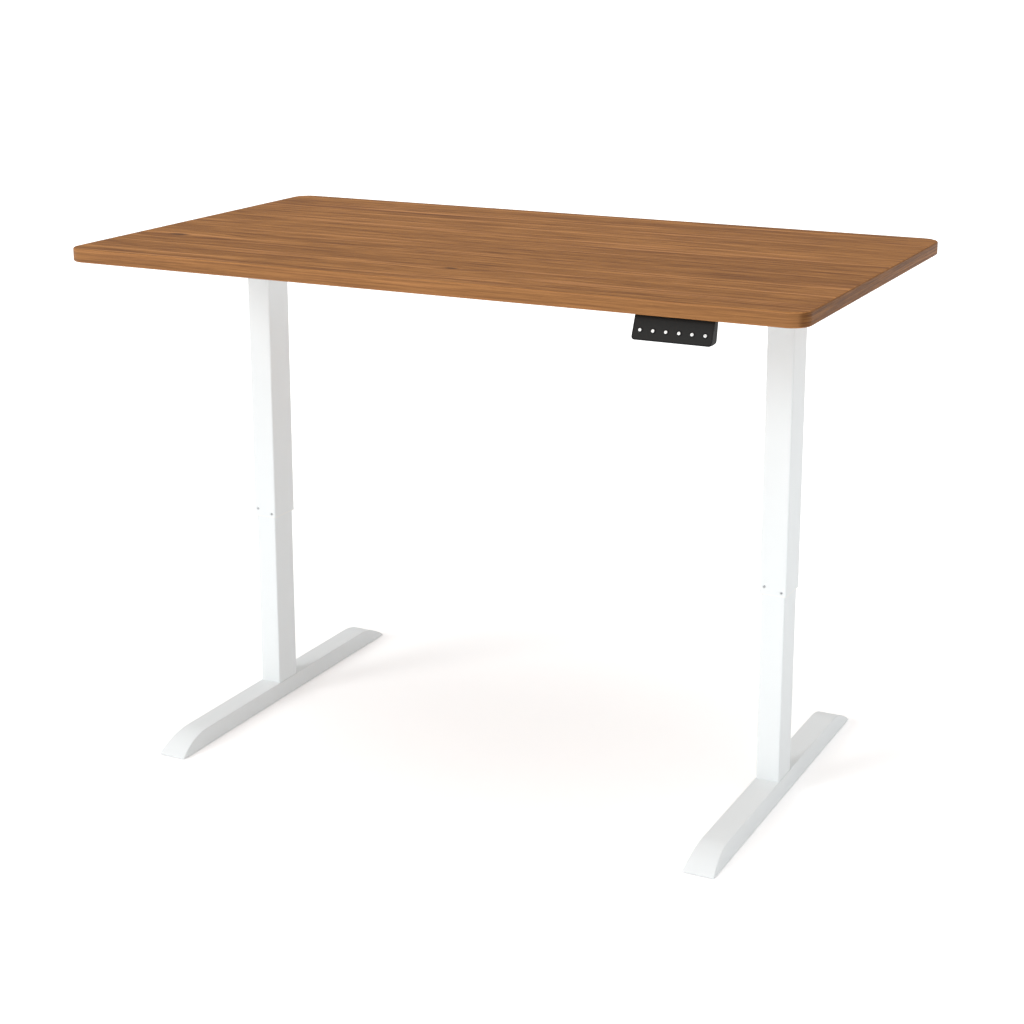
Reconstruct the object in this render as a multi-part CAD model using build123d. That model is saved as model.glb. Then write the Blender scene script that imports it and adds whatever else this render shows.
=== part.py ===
from build123d import *
import math
import os

os.makedirs("parts", exist_ok=True)

# Height adjustable standing desk, millimetres. X runs along the desk, Y to the back, Z up.
# The origin is on the floor under the middle of the desktop.
# The desk stands at its display height, and every height below is for that pose.

# Desktop
desk_width = 1400.0
desk_depth = 800.0
desk_thickness = 25.0
desk_corner = 35.0
desk_edge = 3.0

# Legs: an outer tube that rises with the desktop slides over an inner tube that stands on the foot
leg_spacing = 1072.0
leg_y = 10.0
outer_width = 50.0
outer_depth = 70.0
outer_wall = 1.5
outer_round = 3.5
outer_length = 559.0
inner_width = 44.0
inner_depth = 64.0
inner_wall = 2.0
inner_round = 3.0
inner_shown = 356.0
inner_hidden = 178.0
tube_base_thickness = 8.0

# Feet
foot_height = 32.0
foot_rim = 2.0
foot_half_length = 376.0
foot_base_width = 57.0
foot_top_width = 46.0
foot_wall = 2.0
foot_fold = 2.0
toe_radius = 143.0
toe_run = 86.0
leveller_offset = 316.0
leveller_disc_radius = 14.0
leveller_disc_height = 6.0
leveller_disc_chamfer = 1.0
leveller_stud_radius = 4.0
leveller_stud_top = 26.0
nut_bar_bottom = 10.0
nut_bar_thickness = 4.0
nut_bar_length = 30.0
foot_bolt_radius = 3.0
foot_bolt_head_radius = 5.0
foot_bolt_head_height = 6.0
foot_bolt_socket = 3.0
foot_bolt_end_gap = 1.0
foot_bolt_x = 12.0
foot_bolt_y = 20.0

# Clearances
slide_gap = 0.3
running_gap = 0.05
screw_gap = 0.2

# Sliding guides
lower_glide_height = 40.0
upper_glide_height = 40.0
glide_lip = 2.0
glide_screw_radius = 2.5
glide_screw_x = 16.0
glide_screw_heights = (13.0, 5.5)

# Frame under the desktop
bracket_width = 70.0
bracket_length = 640.0
bracket_thickness = 4.0
bracket_corner = 12.0
bracket_screw_steps = (-290.0, -170.0, 170.0, 290.0)
rail_depth = 30.0
rail_height = 20.0
rail_wall = 1.5
rail_round = 2.5
rail_overhang = 30.0
front_rail_step = -80.0
rear_rail_step = 100.0
rail_bolt_radius = 3.0
rail_bolt_head_radius = 5.5
rail_bolt_head_height = 4.0
wood_screw_radius = 2.5
wood_screw_head_radius = 5.0
wood_screw_head_height = 2.5
wood_screw_depth = 16.0
wood_screw_slot_width = 1.0
wood_screw_slot_length = 6.0
wood_screw_slot_floor = 1.5
pilot_extra = 1.0

# Drive: a hexagonal shaft across the desk turns both spindles through bevel gears
shaft_drop = 34.0
shaft_hex = 7.0
spindle_radius = 8.0
spindle_bottom_drop = 126.0
spindle_shoulder_drop = 2.0
spindle_chamfer = 1.5
journal_radius = 5.0
bevel_teeth = 16
bevel_module = 1.75
bevel_inner_distance = 8.0
bevel_addendum = 1.4
bevel_dedendum = 1.9
bevel_pressure_angle = 14.4
bevel_backlash = 0.5
bevel_hub_radius = 8.0
case_half_x = 18.0
case_half_y = 21.0
case_below = 35.0
case_floor = 11.0
case_above = 18.0
case_cap_thickness = 4.0
case_journal_gap = 2.0
spindle_bearing_radius = 13.0
spindle_bearing_width = 8.0
shaft_bearing_radius = 12.0
nut_height = 27.0
nut_flange = 3.0

# Motor and its reduction gear
reduction_ratio = 3
reduction_module = 1.25
reduction_addendum = 1.0
reduction_dedendum = 1.25
reduction_pressure_angle = 25.0
reduction_backlash = 0.25
reduction_face = 14.0
reduction_hub_radius = 7.0
reduction_case_length = 32.0
reduction_case_wall = 3.0
reduction_case_corner = 10.0
reduction_tip_gap = 1.0
motor_offset = 74.0
motor_radius = 23.0
motor_length = 100.0
motor_wall = 2.0
motor_round = 2.0
motor_shaft_gap = 2.5
motor_shaft_radius = 3.0
rotor_radius = 18.0
rotor_length = 70.0
motor_plate_thickness = 3.0
motor_plate_drop = 62.0
motor_plate_bore_gap = 2.0

# Control box
control_x = -60.0
control_y = 245.0
control_width = 200.0
control_depth = 90.0
control_height = 34.0
control_wall = 2.0
control_corner = 6.0
control_edge = 2.0
control_lid = 3.0
control_ear = 12.0
control_board_height = 3.0
control_board_thickness = 1.6
component_height = 18.4
capacitor_radius = 8.0
capacitor_place = (30.0, 5.0)
transformer_size = (30.0, 24.0)
transformer_place = (-45.0, 0.0)
socket_depth = 12.0
socket_sink = 6.0
socket_height = 14.0
socket_wall = 2.0
motor_socket_width = 16.0
handset_socket_width = 12.0
inlet_width = 27.0
inlet_height = 20.0
inlet_rim = 1.0
inlet_pin_width = 2.0
inlet_pin_height = 4.0
inlet_pin_places = ((-7.0, -2.0), (0.0, 2.0), (7.0, -2.0))

# Handset under the front edge
handset_x = 482.0
handset_width = 135.0
handset_face_length = 44.0
handset_tilt = 23.0
handset_corner = 6.0
handset_front_inset = 2.0
handset_top_corner = 4.0
handset_back = 30.0
handset_back_height = 38.0
handset_back_lean = 7.0
handset_heel = 6.0
handset_wall = 2.0
handset_ear_depth = 16.0
handset_ear_thickness = 3.0
handset_ear_screw = 50.0
button_count = 6
button_pitch = 21.9
button_radius = 3.0
button_rise = 1.2
button_flange_radius = 4.2
button_flange_thickness = 1.2
button_round = 0.5
button_stop_gap = 0.1
button_travel = 0.6
button_height_on_face = -5.6
ring_radius = 4.8
ring_rise = 0.5
board_depth = 6.4
board_thickness = 1.6
switch_height = 1.2
switch_radius = 2.4

# Heights that follow
outer_bottom = foot_height + inner_shown
outer_top = outer_bottom + outer_length
underside = outer_top + bracket_thickness
desk_height = underside + desk_thickness
shaft_z = underside - shaft_drop
inner_top = outer_bottom + inner_hidden
spindle_bottom = inner_top - spindle_bottom_drop
opening_width = outer_width - 2 * outer_wall
opening_depth = outer_depth - 2 * outer_wall
opening_round = outer_round - outer_wall
bevel_outer_distance = bevel_module * bevel_teeth / 2
case_bottom = shaft_z - case_below
shaft_corner = shaft_hex / math.sqrt(3)
motor_reach = motor_radius + shaft_corner + motor_shaft_gap
pinion_teeth = math.ceil(2 * motor_reach / (reduction_module * (reduction_ratio + 1)))
reduction_teeth = reduction_ratio * pinion_teeth
reduction_distance = reduction_module * (reduction_teeth + pinion_teeth) / 2
motor_y = leg_y + reduction_distance
motor_plate_x = -leg_spacing / 2 + outer_width / 2 + motor_offset
rail_steps = {"front": front_rail_step, "rear": rear_rail_step}
leg_x = {"left": -leg_spacing / 2, "right": leg_spacing / 2}
shaft_side = {"left": 1, "right": -1}


def write(node, *solids):
    shape = solids[0] if len(solids) == 1 else Compound(children=list(solids))
    export_step(shape, f"parts/{node}.step")


def span_box(x0, x1, y0, y1, z0, z1):
    return Pos((x0 + x1) / 2, (y0 + y1) / 2, (z0 + z1) / 2) * Box(x1 - x0, y1 - y0, z1 - z0)


def rod_z(radius, z0, z1):
    return Pos(0, 0, (z0 + z1) / 2) * Cylinder(radius, z1 - z0)


def rod_x(radius, x0, x1):
    return Pos((x0 + x1) / 2, 0, 0) * Rot(0, 90, 0) * Cylinder(radius, x1 - x0)


def hex_x(across_flats, x0, x1):
    outline = RegularPolygon(across_flats / 2, 6, major_radius=False)
    return Pos(x0, 0, 0) * Rot(0, 90, 0) * extrude(outline, x1 - x0)


def rounded_block(width, depth, rounding, z0, z1):
    return Pos(0, 0, z0) * extrude(RectangleRounded(width, depth, rounding), z1 - z0)


def sleeve(outside, inside, z0, z1):
    """A rectangular sleeve from two (width, depth, rounding) sizes."""
    return rounded_block(*outside, z0, z1) - rounded_block(*inside, z0, z1)


# ---- gear teeth

def gear_outline(teeth, pitch_radius, tip_radius, root_radius, pressure_angle, backlash, turn):
    """An involute gear's outline, with a tooth centred at the angle turn."""
    base_radius = pitch_radius * math.cos(math.radians(pressure_angle))

    def involute(radius):
        if radius <= base_radius:
            return 0.0
        pressure = math.acos(base_radius / radius)
        return math.tan(pressure) - pressure

    half_tooth = math.pi / (2 * teeth) - backlash / (2 * pitch_radius)
    flank = [root_radius + (tip_radius - root_radius) * step / 4 for step in range(5)]
    points = []
    for tooth in range(teeth):
        middle = turn + 2 * math.pi * tooth / teeth
        spread = [half_tooth + involute(pitch_radius) - involute(radius) for radius in flank]
        rising = [(radius, middle - angle) for radius, angle in zip(flank, spread)]
        falling = [(radius, middle + angle) for radius, angle in zip(flank, spread)]
        for radius, angle in rising + falling[::-1]:
            points.append((radius * math.cos(angle), radius * math.sin(angle)))
    return make_face(Polyline(*points, close=True))


def bevel_gear(turn):
    """A straight bevel gear on the Z axis under its apex at the origin, without its bore."""
    cone_distance = bevel_outer_distance * math.sqrt(2)
    tip_angle = math.pi / 4 + math.atan(bevel_addendum / cone_distance)
    root_angle = math.pi / 4 - math.atan(bevel_dedendum / cone_distance)
    sections = []
    for distance in (bevel_outer_distance, bevel_inner_distance):
        share = distance / bevel_outer_distance
        outline = gear_outline(
            bevel_teeth, distance, distance * math.tan(tip_angle), distance * math.tan(root_angle),
            bevel_pressure_angle, bevel_backlash * share, turn)
        sections.append(Pos(0, 0, -distance) * outline)
    return loft(sections, ruled=True)


# ---- desktop and the frame that is screwed to it

def bracket_screw_places():
    return [(x, leg_y + step) for x in leg_x.values() for step in bracket_screw_steps]


def control_screw_places():
    reach = control_width / 2 + control_ear / 2
    return [(control_x + side * reach, control_y + end * control_depth / 3)
            for side in (-1, 1) for end in (-1, 1)]


def handset_screw_places():
    ear_middle = handset_back_y + handset_ear_depth / 2
    return [(handset_x + side * handset_ear_screw, ear_middle) for side in (-1, 1)]


def make_desktop():
    slab = rounded_block(desk_width, desk_depth, desk_corner, underside, desk_height)
    rims = slab.faces().filter_by(Axis.Z).edges()
    slab = fillet(rims, desk_edge)
    for x, y in bracket_screw_places() + control_screw_places() + handset_screw_places():
        pilot = rod_z(wood_screw_radius + running_gap, underside,
                      underside + wood_screw_depth + pilot_extra)
        slab -= Pos(x, y, 0) * pilot
    return slab


def wood_screw(x, y, plate):
    head_top = underside - plate
    head = rod_z(wood_screw_head_radius, head_top - wood_screw_head_height, head_top)
    head = fillet(head.edges().group_by(Axis.Z)[0], wood_screw_head_height / 2)
    head -= span_box(-wood_screw_slot_width / 2, wood_screw_slot_width / 2,
                     -wood_screw_slot_length / 2, wood_screw_slot_length / 2,
                     head_top - wood_screw_head_height, head_top - wood_screw_slot_floor)
    shank = rod_z(wood_screw_radius, head_top, underside + wood_screw_depth)
    return Pos(x, y, 0) * (head + shank)


def make_desktop_screws():
    screws = [wood_screw(x, y, bracket_thickness) for x, y in bracket_screw_places()]
    screws += [wood_screw(x, y, control_lid) for x, y in control_screw_places()]
    screws += [wood_screw(x, y, handset_ear_thickness) for x, y in handset_screw_places()]
    return screws


def make_bracket():
    plate = rounded_block(bracket_width, bracket_length, bracket_corner, outer_top, underside)
    for step in bracket_screw_steps:
        plate -= Pos(0, step, 0) * rod_z(wood_screw_radius + screw_gap, outer_top, underside)
    for step in rail_steps.values():
        plate -= Pos(0, step, 0) * rod_z(rail_bolt_radius + running_gap, outer_top, underside)
    return plate


def make_rail(step):
    half = leg_spacing / 2 + rail_overhang
    top = outer_top
    bottom = top - rail_height
    rail = span_box(-half, half, -rail_depth / 2, rail_depth / 2, bottom, top)
    rail = fillet(rail.edges().filter_by(Axis.X), rail_round)
    bore_y = rail_depth / 2 - rail_wall
    rail -= span_box(-half, half, -bore_y, bore_y, bottom + rail_wall, top - rail_wall)
    for x in leg_x.values():
        rail -= Pos(x, 0, 0) * rod_z(rail_bolt_radius + screw_gap, bottom, top)
    return Pos(0, leg_y + step, 0) * rail


def make_rail_bolt(x, step):
    seat = outer_top - rail_height
    head = extrude(RegularPolygon(rail_bolt_head_radius, 6), rail_bolt_head_height)
    head = Pos(0, 0, seat - rail_bolt_head_height) * head
    return Pos(x, leg_y + step, 0) * (head + rod_z(rail_bolt_radius, seat, underside))


# ---- telescopic legs

def shaft_bore(radius, side):
    """The way in for the drive shaft, through the inward wall of one leg's head."""
    inward = shaft_side[side]
    ends = sorted((inward * case_half_x, inward * outer_width))
    return Pos(0, 0, shaft_z) * rod_x(radius, *ends)


def make_outer_tube(side):
    tube = sleeve((outer_width, outer_depth, outer_round),
                  (opening_width, opening_depth, opening_round), outer_bottom, outer_top)
    tube -= shaft_bore(bevel_hub_radius, side)
    for place in glide_screw_spots():
        tube -= place * Cylinder(glide_screw_radius + screw_gap, 4 * outer_wall)
    return tube


def glide_screw_spots():
    """Two set screws near the lower end of the front face, which hold the lower glide."""
    front = -outer_depth / 2 + outer_wall / 2
    spots = []
    for sign, height in zip((-1, 1), glide_screw_heights):
        spots.append(Pos(sign * glide_screw_x, front, outer_bottom + height) * Rot(90, 0, 0))
    return spots


def make_glide_screw(spot):
    length = outer_wall
    screw = Cylinder(glide_screw_radius, length)
    screw -= Pos(0, 0, length / 4) * extrude(RegularPolygon(glide_screw_radius / 2, 6), length / 2)
    return spot * screw


def make_lower_glide():
    inside = (inner_width + 2 * slide_gap, inner_depth + 2 * slide_gap, inner_round + slide_gap)
    liner = sleeve((opening_width, opening_depth, opening_round), inside,
                   outer_bottom, outer_bottom + lower_glide_height)
    lip = sleeve((outer_width, outer_depth, outer_round), inside, outer_bottom - glide_lip, outer_bottom)
    return liner + lip


def make_inner_tube():
    inner_opening = (inner_width - 2 * inner_wall, inner_depth - 2 * inner_wall, inner_round - inner_wall)
    return sleeve((inner_width, inner_depth, inner_round), inner_opening, foot_height, inner_top)


def make_upper_glide():
    outside = (opening_width - 2 * slide_gap, opening_depth - 2 * slide_gap, opening_round)
    top = inner_top
    return sleeve(outside, (inner_width, inner_depth, inner_round), top - upper_glide_height, top)


def make_spindle_nut():
    body = rounded_block(inner_width - 2 * inner_wall, inner_depth - 2 * inner_wall,
                         inner_round - inner_wall, inner_top - nut_height, inner_top)
    flange = rounded_block(inner_width, inner_depth, inner_round, inner_top, inner_top + nut_flange)
    bore = rod_z(spindle_radius + running_gap, inner_top - nut_height, inner_top + nut_flange)
    return body + flange - bore


def foot_bolt_places():
    return [(x, y) for x in (-foot_bolt_x, foot_bolt_x) for y in (-foot_bolt_y, foot_bolt_y)]


def make_tube_base():
    plate = rounded_block(inner_width - 2 * inner_wall, inner_depth - 2 * inner_wall,
                          inner_round - inner_wall, foot_height, foot_height + tube_base_thickness)
    for x, y in foot_bolt_places():
        plate -= Pos(x, y, 0) * rod_z(foot_bolt_radius + running_gap, foot_height,
                                      foot_height + tube_base_thickness)
    return plate


# ---- feet

def foot_form(inset):
    """The foot's outer form, or with an inset the hollow under its folded sheet."""
    centre_z = foot_height - toe_radius
    radius = toe_radius - inset
    reach = toe_run - inset
    flat = foot_half_length - toe_run
    end_z = centre_z + math.sqrt(radius**2 - reach**2)
    half_turn = math.asin(reach / radius) / 2
    middle = (flat + radius * math.sin(half_turn), centre_z + radius * math.cos(half_turn))
    bottom = foot_rim - inset
    top = centre_z + radius
    side = Polyline((-flat - reach, end_z), (-flat - reach, bottom), (flat + reach, bottom),
                    (flat + reach, end_z))
    front_toe = ThreePointArc((-flat - reach, end_z), (-middle[0], middle[1]), (-flat, top))
    rear_toe = ThreePointArc((flat + reach, end_z), middle, (flat, top))
    outline = make_face([side, front_toe, Line((-flat, top), (flat, top)), rear_toe])
    long_form = extrude(Plane.YZ * outline, foot_base_width, both=True)

    slope = (foot_base_width - foot_top_width) / 2 / (foot_height - foot_rim)
    side_inset = inset * math.sqrt(1 + slope**2)
    base_half = foot_base_width / 2 - side_inset + slope * (foot_rim - bottom)
    top_half = base_half - slope * (foot_height - bottom)
    section = make_face(Polyline((-base_half, bottom), (base_half, bottom), (top_half, foot_height),
                                 (-top_half, foot_height), close=True))
    return long_form & extrude(Plane.XZ * section, foot_half_length + 1, both=True)


def make_foot():
    form = foot_form(0)
    folds = [edge for edge in form.edges()
             if abs(edge.center().X) > foot_top_width / 4 and edge.center().Z > foot_height / 3]
    form = fillet(folds, foot_fold)
    form -= foot_form(foot_wall)
    for x, y in foot_bolt_places():
        form -= Pos(x, y, 0) * rod_z(foot_bolt_radius + screw_gap, 0, foot_height)
    return form


def make_foot_bolt(x, y):
    seat = foot_height - foot_wall
    head = rod_z(foot_bolt_head_radius, seat - foot_bolt_head_height, seat)
    head -= Pos(0, 0, seat - foot_bolt_head_height) * extrude(
        RegularPolygon(foot_bolt_radius, 6), foot_bolt_socket)
    shank = rod_z(foot_bolt_radius, seat, foot_height + tube_base_thickness - foot_bolt_end_gap)
    return Pos(x, y, 0) * (head + shank)


def make_nut_bar(end):
    """A threaded bar across the foot's hollow, for one levelling foot."""
    middle = end * leveller_offset
    top = nut_bar_bottom + nut_bar_thickness
    slab = span_box(-foot_base_width, foot_base_width, middle - nut_bar_length / 2,
                    middle + nut_bar_length / 2, nut_bar_bottom, top)
    bar = slab & foot_form(foot_wall)
    return bar - Pos(0, middle, 0) * rod_z(leveller_stud_radius + running_gap, nut_bar_bottom, top)


def make_leveller(end):
    disc = rod_z(leveller_disc_radius, 0, leveller_disc_height)
    disc = chamfer(disc.edges(), leveller_disc_chamfer)
    stud = rod_z(leveller_stud_radius, leveller_disc_height, leveller_stud_top)
    return Pos(0, end * leveller_offset, 0) * (disc + stud)


# ---- spindle drive in the head of each leg

def make_gear_case(side):
    case = rounded_block(opening_width, opening_depth, opening_round, case_bottom, shaft_z + case_above)
    floor = case_bottom + case_floor
    case -= span_box(-case_half_x, case_half_x, -case_half_y, case_half_y, floor, shaft_z + case_above)
    case -= rod_z(spindle_bearing_radius + running_gap, floor - spindle_bearing_width, floor)
    case -= rod_z(journal_radius + case_journal_gap, case_bottom, floor)
    seat = rod_x(shaft_bearing_radius + running_gap, case_half_x, opening_width / 2)
    case -= Pos(0, 0, shaft_z) * seat
    case -= shaft_bore(bevel_hub_radius, side)
    return case


def make_gear_case_cap():
    bottom = shaft_z + case_above
    return rounded_block(opening_width, opening_depth, opening_round, bottom, bottom + case_cap_thickness)


def make_spindle_bearing():
    top = case_bottom + case_floor
    ring = rod_z(spindle_bearing_radius, top - spindle_bearing_width, top)
    return ring - rod_z(journal_radius + running_gap, top - spindle_bearing_width, top)


def make_shaft_bearing():
    ring = rod_x(shaft_bearing_radius, case_half_x, opening_width / 2)
    ring -= rod_x(bevel_hub_radius + running_gap, case_half_x, opening_width / 2)
    return Pos(0, 0, shaft_z) * ring


def make_spindle():
    shoulder = case_bottom - spindle_shoulder_drop
    screw = rod_z(spindle_radius, spindle_bottom, shoulder)
    screw = chamfer(screw.edges().group_by(Axis.Z)[0], spindle_chamfer)
    return screw + rod_z(journal_radius, shoulder, shaft_z - bevel_inner_distance)


def make_spindle_gear():
    gear = Pos(0, 0, shaft_z) * bevel_gear(0)
    hub_bottom = case_bottom + case_floor + slide_gap
    gear += rod_z(bevel_hub_radius, hub_bottom, shaft_z - bevel_outer_distance)
    return gear - rod_z(journal_radius + running_gap, hub_bottom, shaft_z - bevel_inner_distance)


def make_shaft_gear():
    gear = Rot(0, -90, 0) * bevel_gear(math.pi / bevel_teeth)
    hub_end = opening_width / 2 - slide_gap
    gear += rod_x(bevel_hub_radius, bevel_outer_distance, hub_end)
    gear -= hex_x(shaft_hex + 2 * running_gap, bevel_inner_distance, hub_end)
    return Pos(0, 0, shaft_z) * gear


def make_drive_shaft():
    start = leg_x["left"] + bevel_inner_distance
    end = leg_x["right"] + opening_width / 2 - slide_gap
    return Pos(0, leg_y, shaft_z) * hex_x(shaft_hex, start, end)


# ---- motor and reduction gear, hung between the two rails

def case_start():
    return motor_plate_x + motor_plate_thickness


def cover_start():
    return case_start() + reduction_case_length


def reduction_section(wall):
    """The reduction case's section, laid in the YZ plane; the wall is taken off all round."""
    gear_reach = reduction_module * reduction_teeth / 2 + reduction_addendum + reduction_tip_gap
    low_y = leg_y - gear_reach - reduction_case_wall + wall
    high_y = motor_y + motor_radius - wall
    half_z = gear_reach + reduction_case_wall - wall
    outline = RectangleRounded(high_y - low_y, 2 * half_z, reduction_case_corner - wall)
    return Plane.YZ * Pos((low_y + high_y) / 2, shaft_z) * outline


def make_motor_plate():
    front = leg_y + front_rail_step + rail_depth / 2
    rear = leg_y + rear_rail_step - rail_depth / 2
    plate = span_box(motor_plate_x, case_start(), front, rear, underside - motor_plate_drop, outer_top)
    bore = rod_x(reduction_hub_radius + motor_plate_bore_gap, motor_plate_x, case_start())
    return plate - Pos(0, leg_y, shaft_z) * bore


def make_reduction_case():
    start = case_start()
    case = Pos(start, 0, 0) * extrude(reduction_section(0), reduction_case_length)
    hollow_length = reduction_case_length - reduction_case_wall
    hollow = extrude(reduction_section(reduction_case_wall), hollow_length)
    case -= Pos(start + reduction_case_wall, 0, 0) * hollow
    bore = rod_x(reduction_hub_radius + running_gap, start, start + reduction_case_wall)
    return case - Pos(0, leg_y, shaft_z) * bore


def make_reduction_cover():
    start = cover_start()
    end = start + reduction_case_wall
    cover = Pos(start, 0, 0) * extrude(reduction_section(0), reduction_case_wall)
    cover -= Pos(0, leg_y, shaft_z) * rod_x(reduction_hub_radius + running_gap, start, end)
    return cover - Pos(0, motor_y, shaft_z) * rod_x(motor_shaft_radius + running_gap, start, end)


def make_reduction_gear():
    pitch_radius = reduction_module * reduction_teeth / 2
    outline = gear_outline(
        reduction_teeth, pitch_radius, pitch_radius + reduction_addendum,
        pitch_radius - reduction_dedendum, reduction_pressure_angle, reduction_backlash,
        math.pi / reduction_teeth)
    wheel_start = case_start() + (reduction_case_length - reduction_face) / 2
    wheel = Pos(wheel_start, 0, 0) * extrude(Plane.YZ * outline, reduction_face)
    hub_start = case_start()
    hub_end = cover_start() + reduction_case_wall
    gear = wheel + rod_x(reduction_hub_radius, hub_start, hub_end)
    gear -= hex_x(shaft_hex + 2 * running_gap, hub_start, hub_end)
    return Pos(0, leg_y, shaft_z) * gear


def make_motor_can():
    start = cover_start() + reduction_case_wall
    end = start + motor_length
    can = rod_x(motor_radius, start, end)
    can = fillet(can.edges().group_by(Axis.X)[-1], motor_round)
    can -= rod_x(motor_radius - motor_wall, start, end - 2 * motor_wall)
    can -= rod_x(motor_shaft_radius + running_gap, end - 2 * motor_wall, end - motor_wall)
    return Pos(0, motor_y, shaft_z) * can


def make_motor_rotor():
    """The rotor, with its pinion cut on the shaft."""
    pitch_radius = reduction_module * pinion_teeth / 2
    outline = gear_outline(
        pinion_teeth, pitch_radius, pitch_radius + reduction_addendum,
        pitch_radius - reduction_dedendum, reduction_pressure_angle, reduction_backlash, 0)
    pinion_start = case_start() + (reduction_case_length - reduction_face) / 2
    pinion = Pos(pinion_start, 0, 0) * extrude(Plane.YZ * outline, reduction_face)
    can_start = cover_start() + reduction_case_wall
    shaft = rod_x(motor_shaft_radius, pinion_start, can_start + motor_length - motor_wall - slide_gap)
    core_start = can_start + (motor_length - rotor_length) / 2
    core = rod_x(rotor_radius, core_start, core_start + rotor_length)
    return Pos(0, motor_y, shaft_z) * (pinion + shaft + core)


# ---- control box

def control_floor():
    return underside - control_lid - control_height


def socket_places():
    """Motor and handset sockets on the front side, as (x, width)."""
    return [(control_x - control_width / 4, motor_socket_width),
            (control_x + control_width / 4, handset_socket_width)]


def make_control_base():
    base = rounded_block(control_width, control_depth, control_corner,
                         control_floor(), underside - control_lid)
    base = fillet(base.edges().group_by(Axis.Z)[0], control_edge)
    hollow = rounded_block(control_width - 2 * control_wall, control_depth - 2 * control_wall,
                           control_corner - control_wall, control_floor() + control_wall,
                           underside - control_lid)
    base = Pos(control_x, control_y, 0) * (base - hollow)
    return base - inlet_block() - socket_block(0) - socket_block(1)


def make_control_lid():
    width = control_width + 2 * control_ear
    lid = rounded_block(width, control_depth, control_corner, underside - control_lid, underside)
    lid = Pos(control_x, control_y, 0) * lid
    for x, y in control_screw_places():
        lid -= Pos(x, y, 0) * rod_z(wood_screw_radius + screw_gap, underside - control_lid, underside)
    return lid


def make_control_board():
    bottom = control_floor() + control_wall + control_board_height
    board = rounded_block(control_width - 2 * control_wall, control_depth - 2 * control_wall,
                          control_corner - control_wall, bottom, bottom + control_board_thickness)
    top = bottom + control_board_thickness
    capacitor = Pos(*capacitor_place, 0) * rod_z(capacitor_radius, top, top + component_height)
    transformer = Pos(*transformer_place, top + component_height / 2) * Box(
        *transformer_size, component_height)
    return Pos(control_x, control_y, 0) * (board + capacitor + transformer)


def inlet_block():
    back = control_y + control_depth / 2
    middle = control_floor() + control_height / 2
    return span_box(control_x - inlet_width / 2, control_x + inlet_width / 2, back - control_wall, back,
                    middle - inlet_height / 2, middle + inlet_height / 2)


def make_mains_inlet():
    """The inlet for a mains lead: a shell with three contact pins."""
    back = control_y + control_depth / 2
    middle = control_floor() + control_height / 2
    half_x = inlet_width / 2
    half_z = inlet_height / 2
    cavity_x = half_x - socket_wall
    cavity_z = half_z - socket_wall
    shell = span_box(control_x - half_x, control_x + half_x, back - control_wall, back,
                     middle - half_z, middle + half_z)
    body_x = half_x - inlet_rim
    body_z = half_z - inlet_rim
    body = span_box(control_x - body_x, control_x + body_x, back - 2 * socket_depth,
                    back - control_wall, middle - body_z, middle + body_z)
    inlet = shell + body
    inlet -= span_box(control_x - cavity_x, control_x + cavity_x, back - socket_depth, back,
                      middle - cavity_z, middle + cavity_z)
    for step, rise in inlet_pin_places:
        pin = Box(inlet_pin_width, socket_depth / 2, inlet_pin_height)
        inlet += Pos(control_x + step, back - 3 * socket_depth / 4, middle + rise) * pin
    return inlet


def socket_block(index):
    x, width = socket_places()[index]
    front = control_y - control_depth / 2
    middle = control_floor() + control_height / 2
    return span_box(x - width / 2, x + width / 2, front, front + control_wall,
                    middle - socket_height / 2, middle + socket_height / 2)


def make_cable_socket(index):
    x, width = socket_places()[index]
    front = control_y - control_depth / 2
    middle = control_floor() + control_height / 2
    half_z = socket_height / 2
    socket = span_box(x - width / 2, x + width / 2, front, front + socket_depth,
                      middle - half_z, middle + half_z)
    cavity_x = width / 2 - socket_wall
    cavity_z = half_z - socket_wall
    return socket - span_box(x - cavity_x, x + cavity_x, front, front + socket_sink,
                             middle - cavity_z, middle + cavity_z)


# ---- handset

tilt_angle = math.radians(handset_tilt)
handset_front_y = -desk_depth / 2 + handset_front_inset
handset_face_rise = handset_face_length * math.cos(tilt_angle)
handset_face_run = handset_face_length * math.sin(tilt_angle)
handset_back_y = handset_front_y + handset_back
face_normal = Vector(0, -math.cos(tilt_angle), math.sin(tilt_angle))
face_plane = Plane(
    origin=(handset_x, handset_front_y + handset_face_run / 2, underside - handset_face_rise / 2),
    x_dir=(1, 0, 0), z_dir=face_normal)
button_steps = [(index - (button_count - 1) / 2) * button_pitch for index in range(button_count)]


def on_face(step, low, high, radius):
    """A round piece standing square to the handset's face, between two depths."""
    middle = (low + high) / 2
    return face_plane * Pos(step, button_height_on_face, middle) * Cylinder(radius, high - low)


def handset_form(inset):
    """The handset's wedge, or with an inset the room inside it."""
    half_width = handset_width / 2 - inset
    bottom = inset - handset_face_length / 2
    top = handset_face_length + handset_back
    face = Pos(0, (bottom + top) / 2) * RectangleRounded(
        2 * half_width, top - bottom, handset_corner - inset)
    block = face_plane * extrude(face, -2 * handset_back)
    heel = Vector(handset_back_y - handset_back_lean, underside - handset_back_height)
    side = make_face(Polyline(
        (handset_front_y + handset_face_run, underside), (handset_front_y, underside - handset_face_rise),
        (heel.X, heel.Y), (handset_back_y, underside), close=True))
    side = fillet(side.vertices().sort_by_distance(heel)[0], handset_heel)
    if inset:
        side = offset(side, -inset)
    wedge = Pos(handset_x, 0, 0) * extrude(Plane.YZ * side, handset_width, both=True)
    form = block & wedge
    shoulders = [edge for edge in form.edges().group_by(Axis.Z)[-1]
                 if abs(edge.center().X - handset_x) > half_width - handset_wall / 2]
    return fillet(shoulders, handset_top_corner - inset)


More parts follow.
